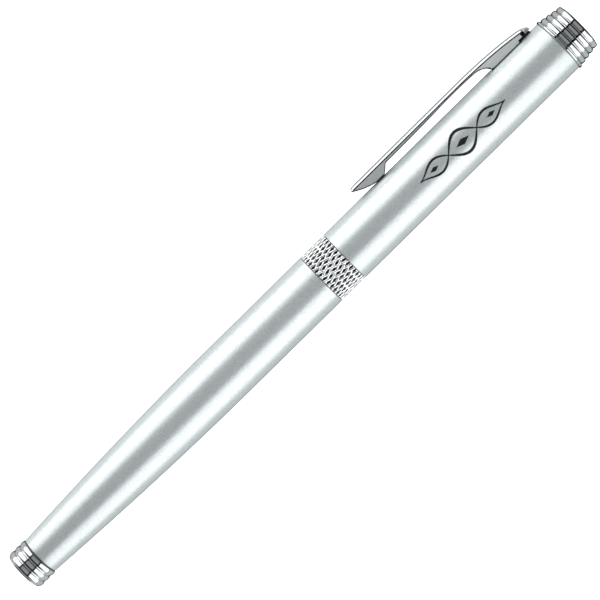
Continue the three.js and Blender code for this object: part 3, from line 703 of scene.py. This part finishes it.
def make_thread():
    """The section's brass insert with its real helical thread."""
    pitch, crest, depth, around = 0.75, 3.85, 0.3, 96
    start, end, spigot_start, rows_a_turn = 68.4, 74.4, 74.9, 12
    rows = [(start, THREAD_BORE_R), (start, crest - depth)]
    steps = int((end - start) / pitch * rows_a_turn)
    rows += [(start + (end - start) * k / steps, None) for k in range(1, steps)]
    rows += [(end, crest - depth), (spigot_start, SPIGOT_R)]
    rows += [(SPIGOT_END, SPIGOT_R), (SPIGOT_END, THREAD_BORE_R)]

    def height(x, turn):
        wave = abs(2 * ((x - start) / pitch - turn) % 2 - 1)
        runout = min(1.0, (x - start) / pitch, (end - x) / pitch)
        return min(1.0, 1.25 * wave) * runout

    mesh, _ = relief("thread", rows, around, height, crest - depth, crest)
    finish_mesh("section_insert", mesh, "grip", [BRASS], ["section_thread"], sharp=60)


def make_refill_tip():
    """A thin tube and a cone with the ball's seat in its end, and the ball."""
    start, bore_r, shank_r, lip = 112.2, 0.4, 1.03, 119.2
    shank_end, neck = (117.2, shank_r), (117.7, 0.8)
    seat, throat_r, throat_start = 118.67, 0.25, 115
    outline = [(start, bore_r), (start, shank_r), shank_end]
    outline += curve(shank_end, (117.5, 0.95), neck, 6)
    outline += curve(neck, (118.6, 0.6), (lip, 0.44), 6)
    outline += arc(lip, 0.42, 0.07, 0.03, 90, 0, 4)
    outline += [(seat, bore_r), (seat, throat_r), (throat_start, bore_r)]
    mesh = revolve("tip", outline, 64)
    finish_mesh("tip_shell", mesh, "refill", [STEEL], ["refill_tip"])
    mesh = revolve("ball", arc(BALL_X, 0, BALL_R, BALL_R, 180, 0, 24), 48)
    finish_mesh("ball_bead", mesh, "writing_ball", [STEEL], ["writing_ball"])


# ---- Coil springs ----
def coil(name, length, radius, wire, turns, place):
    """A helix of round wire. place(along, across, out) gives a point of it its position."""
    around, steps = 12, 32 * turns
    vertices = []
    for k in range(steps + 1):
        angle = 2 * math.pi * turns * k / steps
        along = wire + (length - 2 * wire) * k / steps
        for j in range(around):
            spin = 2 * math.pi * j / around
            r = radius + wire * math.cos(spin)
            vertices.append(place(along + wire * math.sin(spin), r * math.sin(angle), r * math.cos(angle)))
    ends = [tuple(range(around)), tuple(reversed(range(steps * around, (steps + 1) * around)))]
    return closed(mesh_of(name, vertices, bridge(steps + 1, around) + ends))


def make_springs():
    start, seat = 5.4, 5.3

    def on_axis(along, across, out):
        return (start + along, across, out)

    mesh = coil("refill_coil", 4.1, 2.25, 0.26, 4, on_axis)
    piece = finish_mesh("refill_coil", mesh, "barrel", [STEEL], ["refill_spring"])
    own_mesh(piece)
    well_x, well_floor = 128.7, 0.68

    def in_well(along, across, out):
        return (well_x + out, across, well_floor + along)

    mesh = coil("clip_coil", 1.74, 0.75, 0.15, 3, in_well)
    piece = finish_mesh("clip_coil", mesh, "cap", [STEEL], ["clip_spring"])
    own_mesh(piece)


# ---- Ornament printed on the cap: interlaced lines that echo the band, with small diamonds ----
ORNAMENT_X = 110.5
ORNAMENT_LENGTH = 21.0
ORNAMENT_HALF = 2.3
ORNAMENT_ANGLE = math.radians(-88)
ORNAMENT_WAVES = 3
THIN_LINE = 0.2
CREST_EXTRA = 0.4
DIAMOND_HALF_LENGTH = 1.5
DIAMOND_HALF_WIDTH = 0.6
SIDE_DIAMOND = 0.65
PRINT_R = BODY_R + 0.012


def on_cap(x, offset, radius):
    angle = ORNAMENT_ANGLE - offset / BODY_R
    return (x, radius * math.sin(angle), radius * math.cos(angle))


def stroke(points, widths):
    """A printed line through (x, offset) points, as a thin closed ribbon that follows the tube."""
    columns = max(2, math.ceil(max(widths) / 0.12) + 1)
    vertices, faces = [], []
    for i, (x, offset) in enumerate(points):
        before, after = points[max(0, i - 1)], points[min(len(points) - 1, i + 1)]
        along = Vector((after[0] - before[0], after[1] - before[1])).normalized()
        for radius in (PRINT_R, BODY_R - 0.02):
            for k in range(columns):
                reach = widths[i] * (k / (columns - 1) - 0.5)
                vertices.append(on_cap(x - along.y * reach, offset + along.x * reach, radius))
    ring = 2 * columns
    edge = list(range(columns)) + list(reversed(range(columns, ring)))
    for i in range(len(points) - 1):
        for a, b in zip(edge, edge[1:] + edge[:1]):
            faces.append((i * ring + a, i * ring + b, (i + 1) * ring + b, (i + 1) * ring + a))
    faces.append(tuple(edge))
    faces.append(tuple(v + ring * (len(points) - 1) for v in reversed(edge)))
    return vertices, faces


def diamond(x, offset, half_length, half_width):
    steps = 12
    points = [(x + half_length * (2 * k / steps - 1), offset) for k in range(steps + 1)]
    widths = [2 * half_width * (1 - abs(2 * k / steps - 1)) + 0.02 for k in range(steps + 1)]
    return stroke(points, widths)


def wave(side):
    """One of the two waves, which mirror each other and are thickest at their crests."""
    steps = 160
    points, widths = [], []
    for k in range(steps + 1):
        u = k / steps
        swell = math.sin(math.pi * u) ** 0.8
        bend = math.sin(ORNAMENT_WAVES * math.pi * u)
        points.append((ORNAMENT_X + ORNAMENT_LENGTH * (u - 0.5), side * ORNAMENT_HALF * swell * bend))
        widths.append(THIN_LINE + CREST_EXTRA * swell * abs(bend))
    return stroke(points, widths)


def make_ornament():
    parts = [wave(side) for side in (1, -1)]
    for i in (-1, 0, 1):
        size = 1.0 if i == 0 else SIDE_DIAMOND
        x = ORNAMENT_X + i * ORNAMENT_LENGTH / ORNAMENT_WAVES
        parts.append(diamond(x, 0, DIAMOND_HALF_LENGTH * size, DIAMOND_HALF_WIDTH * size))
    vertices, faces = [], []
    for more_vertices, more_faces in parts:
        base = len(vertices)
        vertices += more_vertices
        faces += [tuple(v + base for v in face) for face in more_faces]
    mesh = closed(mesh_of("ornament", vertices, faces))
    finish_mesh("cap_ornament", mesh, "cap", [PRINT], [])


# ---- Pieces that keep their CAD shape ----
def paint_cad_pieces():
    looks = {
        STEEL: ("tail_stud", "clip_pin", "lock_washer", "finial_stud"),
        BRASS: ("barrel_bush", "clip_carrier"),
        BLACK: ("cap_mouth_bush", "refill_end_plug", "tail_plug"),
        GREY: ("inner_cap", "refill_nose"),
        CLEAR: ("refill_tube",),
        FELT: ("ink_reservoir", "ink_feed"),
    }
    for material, names in looks.items():
        for name in names:
            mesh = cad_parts[name].data
            mesh.materials.clear()
            mesh.materials.append(material)


# ---- Studio ----
FLOOR_Z = -5.64 * MM
CAMERA_LIFT = math.radians(48.9)
CAMERA_DISTANCE = 0.515
CAP_NEARER = math.radians(2.3)
PEN_SLOPE = math.radians(44.55)
ACROSS_PEN = math.cos(CAP_NEARER)
BACK = Vector(
    (math.sin(CAP_NEARER), ACROSS_PEN * math.cos(CAMERA_LIFT), ACROSS_PEN * math.sin(CAMERA_LIFT))
)
CLIP_SIDE = Vector((0, math.sin(CAMERA_LIFT), -math.cos(CAMERA_LIFT)))
MIDDLE = Vector((LENGTH / 2 * MM, 0, 0))


def make_camera():
    camera = bpy.data.cameras.new("camera")
    camera.sensor_width = 36
    camera.lens = 172
    holder = bpy.data.objects.new("camera", camera)
    bpy.context.scene.collection.objects.link(holder)
    along = (Vector((1, 0, 0)) - BACK * BACK.x).normalized()
    across = BACK.cross(along)
    right = along * math.cos(PEN_SLOPE) - across * math.sin(PEN_SLOPE)
    up = along * math.sin(PEN_SLOPE) + across * math.cos(PEN_SLOPE)
    turn = Matrix((right, up, BACK)).transposed().to_4x4()
    holder.matrix_world = Matrix.Translation(MIDDLE + BACK * CAMERA_DISTANCE) @ turn
    bpy.context.scene.camera = holder


def make_floor():
    nodes = Nodes("pale_floor", (0.93, 0.93, 0.93), 0.0, 0.9)
    nodes.shader.inputs["Emission Color"].default_value = (1, 1, 1, 1)
    nodes.shader.inputs["Emission Strength"].default_value = FLOOR_GLOW
    half = 3.0
    corners = [(x, y, FLOOR_Z) for x, y in ((-half, -half), (half, -half), (half, half), (-half, half))]
    mesh = mesh_of("floor", corners, [(0, 1, 2, 3)])
    mesh.materials.append(nodes.material)
    floor = bpy.data.objects.new("floor", mesh)
    bpy.context.scene.collection.objects.link(floor)
    floor.visible_glossy = floor.visible_shadow = False


FLOOR_GLOW = 0.95
PANEL_DISTANCE = 0.7
PANEL_LENGTH = 0.9
END_CARD_REACH = 1.1


def make_panel(name, start, end, radiance):
    """A long softbox along the pen. start and end are the angles from the camera's line at which it begins
    and stops, in degrees, and are positive towards the clip's side."""
    middle = math.radians((start + end) / 2)
    towards = BACK * math.cos(middle) + CLIP_SIDE * math.sin(middle)
    width = 2 * PANEL_DISTANCE * math.tan(math.radians(abs(end - start) / 2))
    light = bpy.data.lights.new(name, "AREA")
    light.shape = "RECTANGLE"
    light.size, light.size_y = PANEL_LENGTH, width
    light.energy = radiance * math.pi * PANEL_LENGTH * width
    holder = bpy.data.objects.new(name, light)
    holder.visible_camera = False
    bpy.context.scene.collection.objects.link(holder)
    axis_z = towards.normalized()
    axis_x = Vector((1, 0, 0))
    axis_y = axis_z.cross(axis_x).normalized()
    axis_x = axis_y.cross(axis_z)
    turn = Matrix((axis_x, axis_y, axis_z)).transposed().to_4x4()
    holder.matrix_world = Matrix.Translation(MIDDLE + towards * PANEL_DISTANCE) @ turn


def make_world():
    world = bpy.data.worlds.new("studio")
    world.use_nodes = True
    background = world.node_tree.nodes["Background"]
    background.inputs["Color"].default_value = (0.48, 0.505, 0.51, 1)
    background.inputs["Strength"].default_value = 1.0
    bpy.context.scene.world = world
    bpy.context.scene.view_settings.view_transform = "Standard"


def make_card(name, start, end, level):
    """A long grey or black card that only reflections see. Angles are as for make_panel."""
    steps, radius, half = 6, 0.42, 0.3
    vertices = []
    for k in range(steps + 1):
        angle = math.radians(start + (end - start) * k / steps)
        edge = MIDDLE + (BACK * math.cos(angle) + CLIP_SIDE * math.sin(angle)) * radius
        vertices += [edge - Vector((half, 0, 0)), edge + Vector((half, 0, 0))]
    faces = [(2 * k, 2 * k + 1, 2 * k + 3, 2 * k + 2) for k in range(steps)]
    hang_card(mesh_of(name, vertices, faces), level)


def make_end_card(name, x, near, far, level):
    """A card across the pen's line, past its end, which darkens the slopes of the ribs. near and far are
    its edges, counted from the pen's line towards the camera."""
    half = END_CARD_REACH
    edges = ((-half, near), (half, near), (half, far), (-half, far))
    corners = [Vector((x, 0, 0)) + CLIP_SIDE * side + BACK * edge for side, edge in edges]
    hang_card(mesh_of(name, corners, [(0, 1, 2, 3)]), level)


def hang_card(mesh, level):
    """Adds a card of that brightness to the set, where only reflections see it."""
    nodes = Nodes(mesh.name, (0, 0, 0), 0.0, 1.0)
    nodes.shader.inputs["Specular IOR Level"].default_value = 0
    nodes.shader.inputs["Emission Color"].default_value = (0.94, 1.0, 1.0, 1)
    nodes.shader.inputs["Emission Strength"].default_value = level
    mesh.materials.append(nodes.material)
    card = bpy.data.objects.new(mesh.name, mesh)
    bpy.context.scene.collection.objects.link(card)
    card.visible_camera = card.visible_diffuse = card.visible_shadow = False


make_camera()
make_floor()
make_world()
make_panel("softbox_over", -33, -95, 1.04)
make_panel("softbox_low", 35.5, 97, 1.04)
make_card("grey_card", -23.5, 27, 0.26)
make_card("black_card_over", -33, -23.5, 0.0)
make_card("black_card_low", 27, 35.5, 0.0)
make_card("black_card_behind", 148, 212, 0.03)
make_end_card("end_card_tail", -0.48, 0.18, END_CARD_REACH, 0.0)
make_end_card("end_card_cap", 0.62, 0.12, END_CARD_REACH, 0.0)
make_end_card("end_card_cap_rear", 0.62, -END_CARD_REACH, 0.12, 0.2)
make_barrel()
make_tail_finial()
make_cap_tube()
make_cap_finial()
make_band()
make_clip()
make_clip_root()
make_bumper_shade_pad()
make_grip()
make_nose_cone()
make_section_ring()
make_snap_ring()
make_thread()
make_refill_tip()
make_springs()
make_ornament()
paint_cad_pieces()
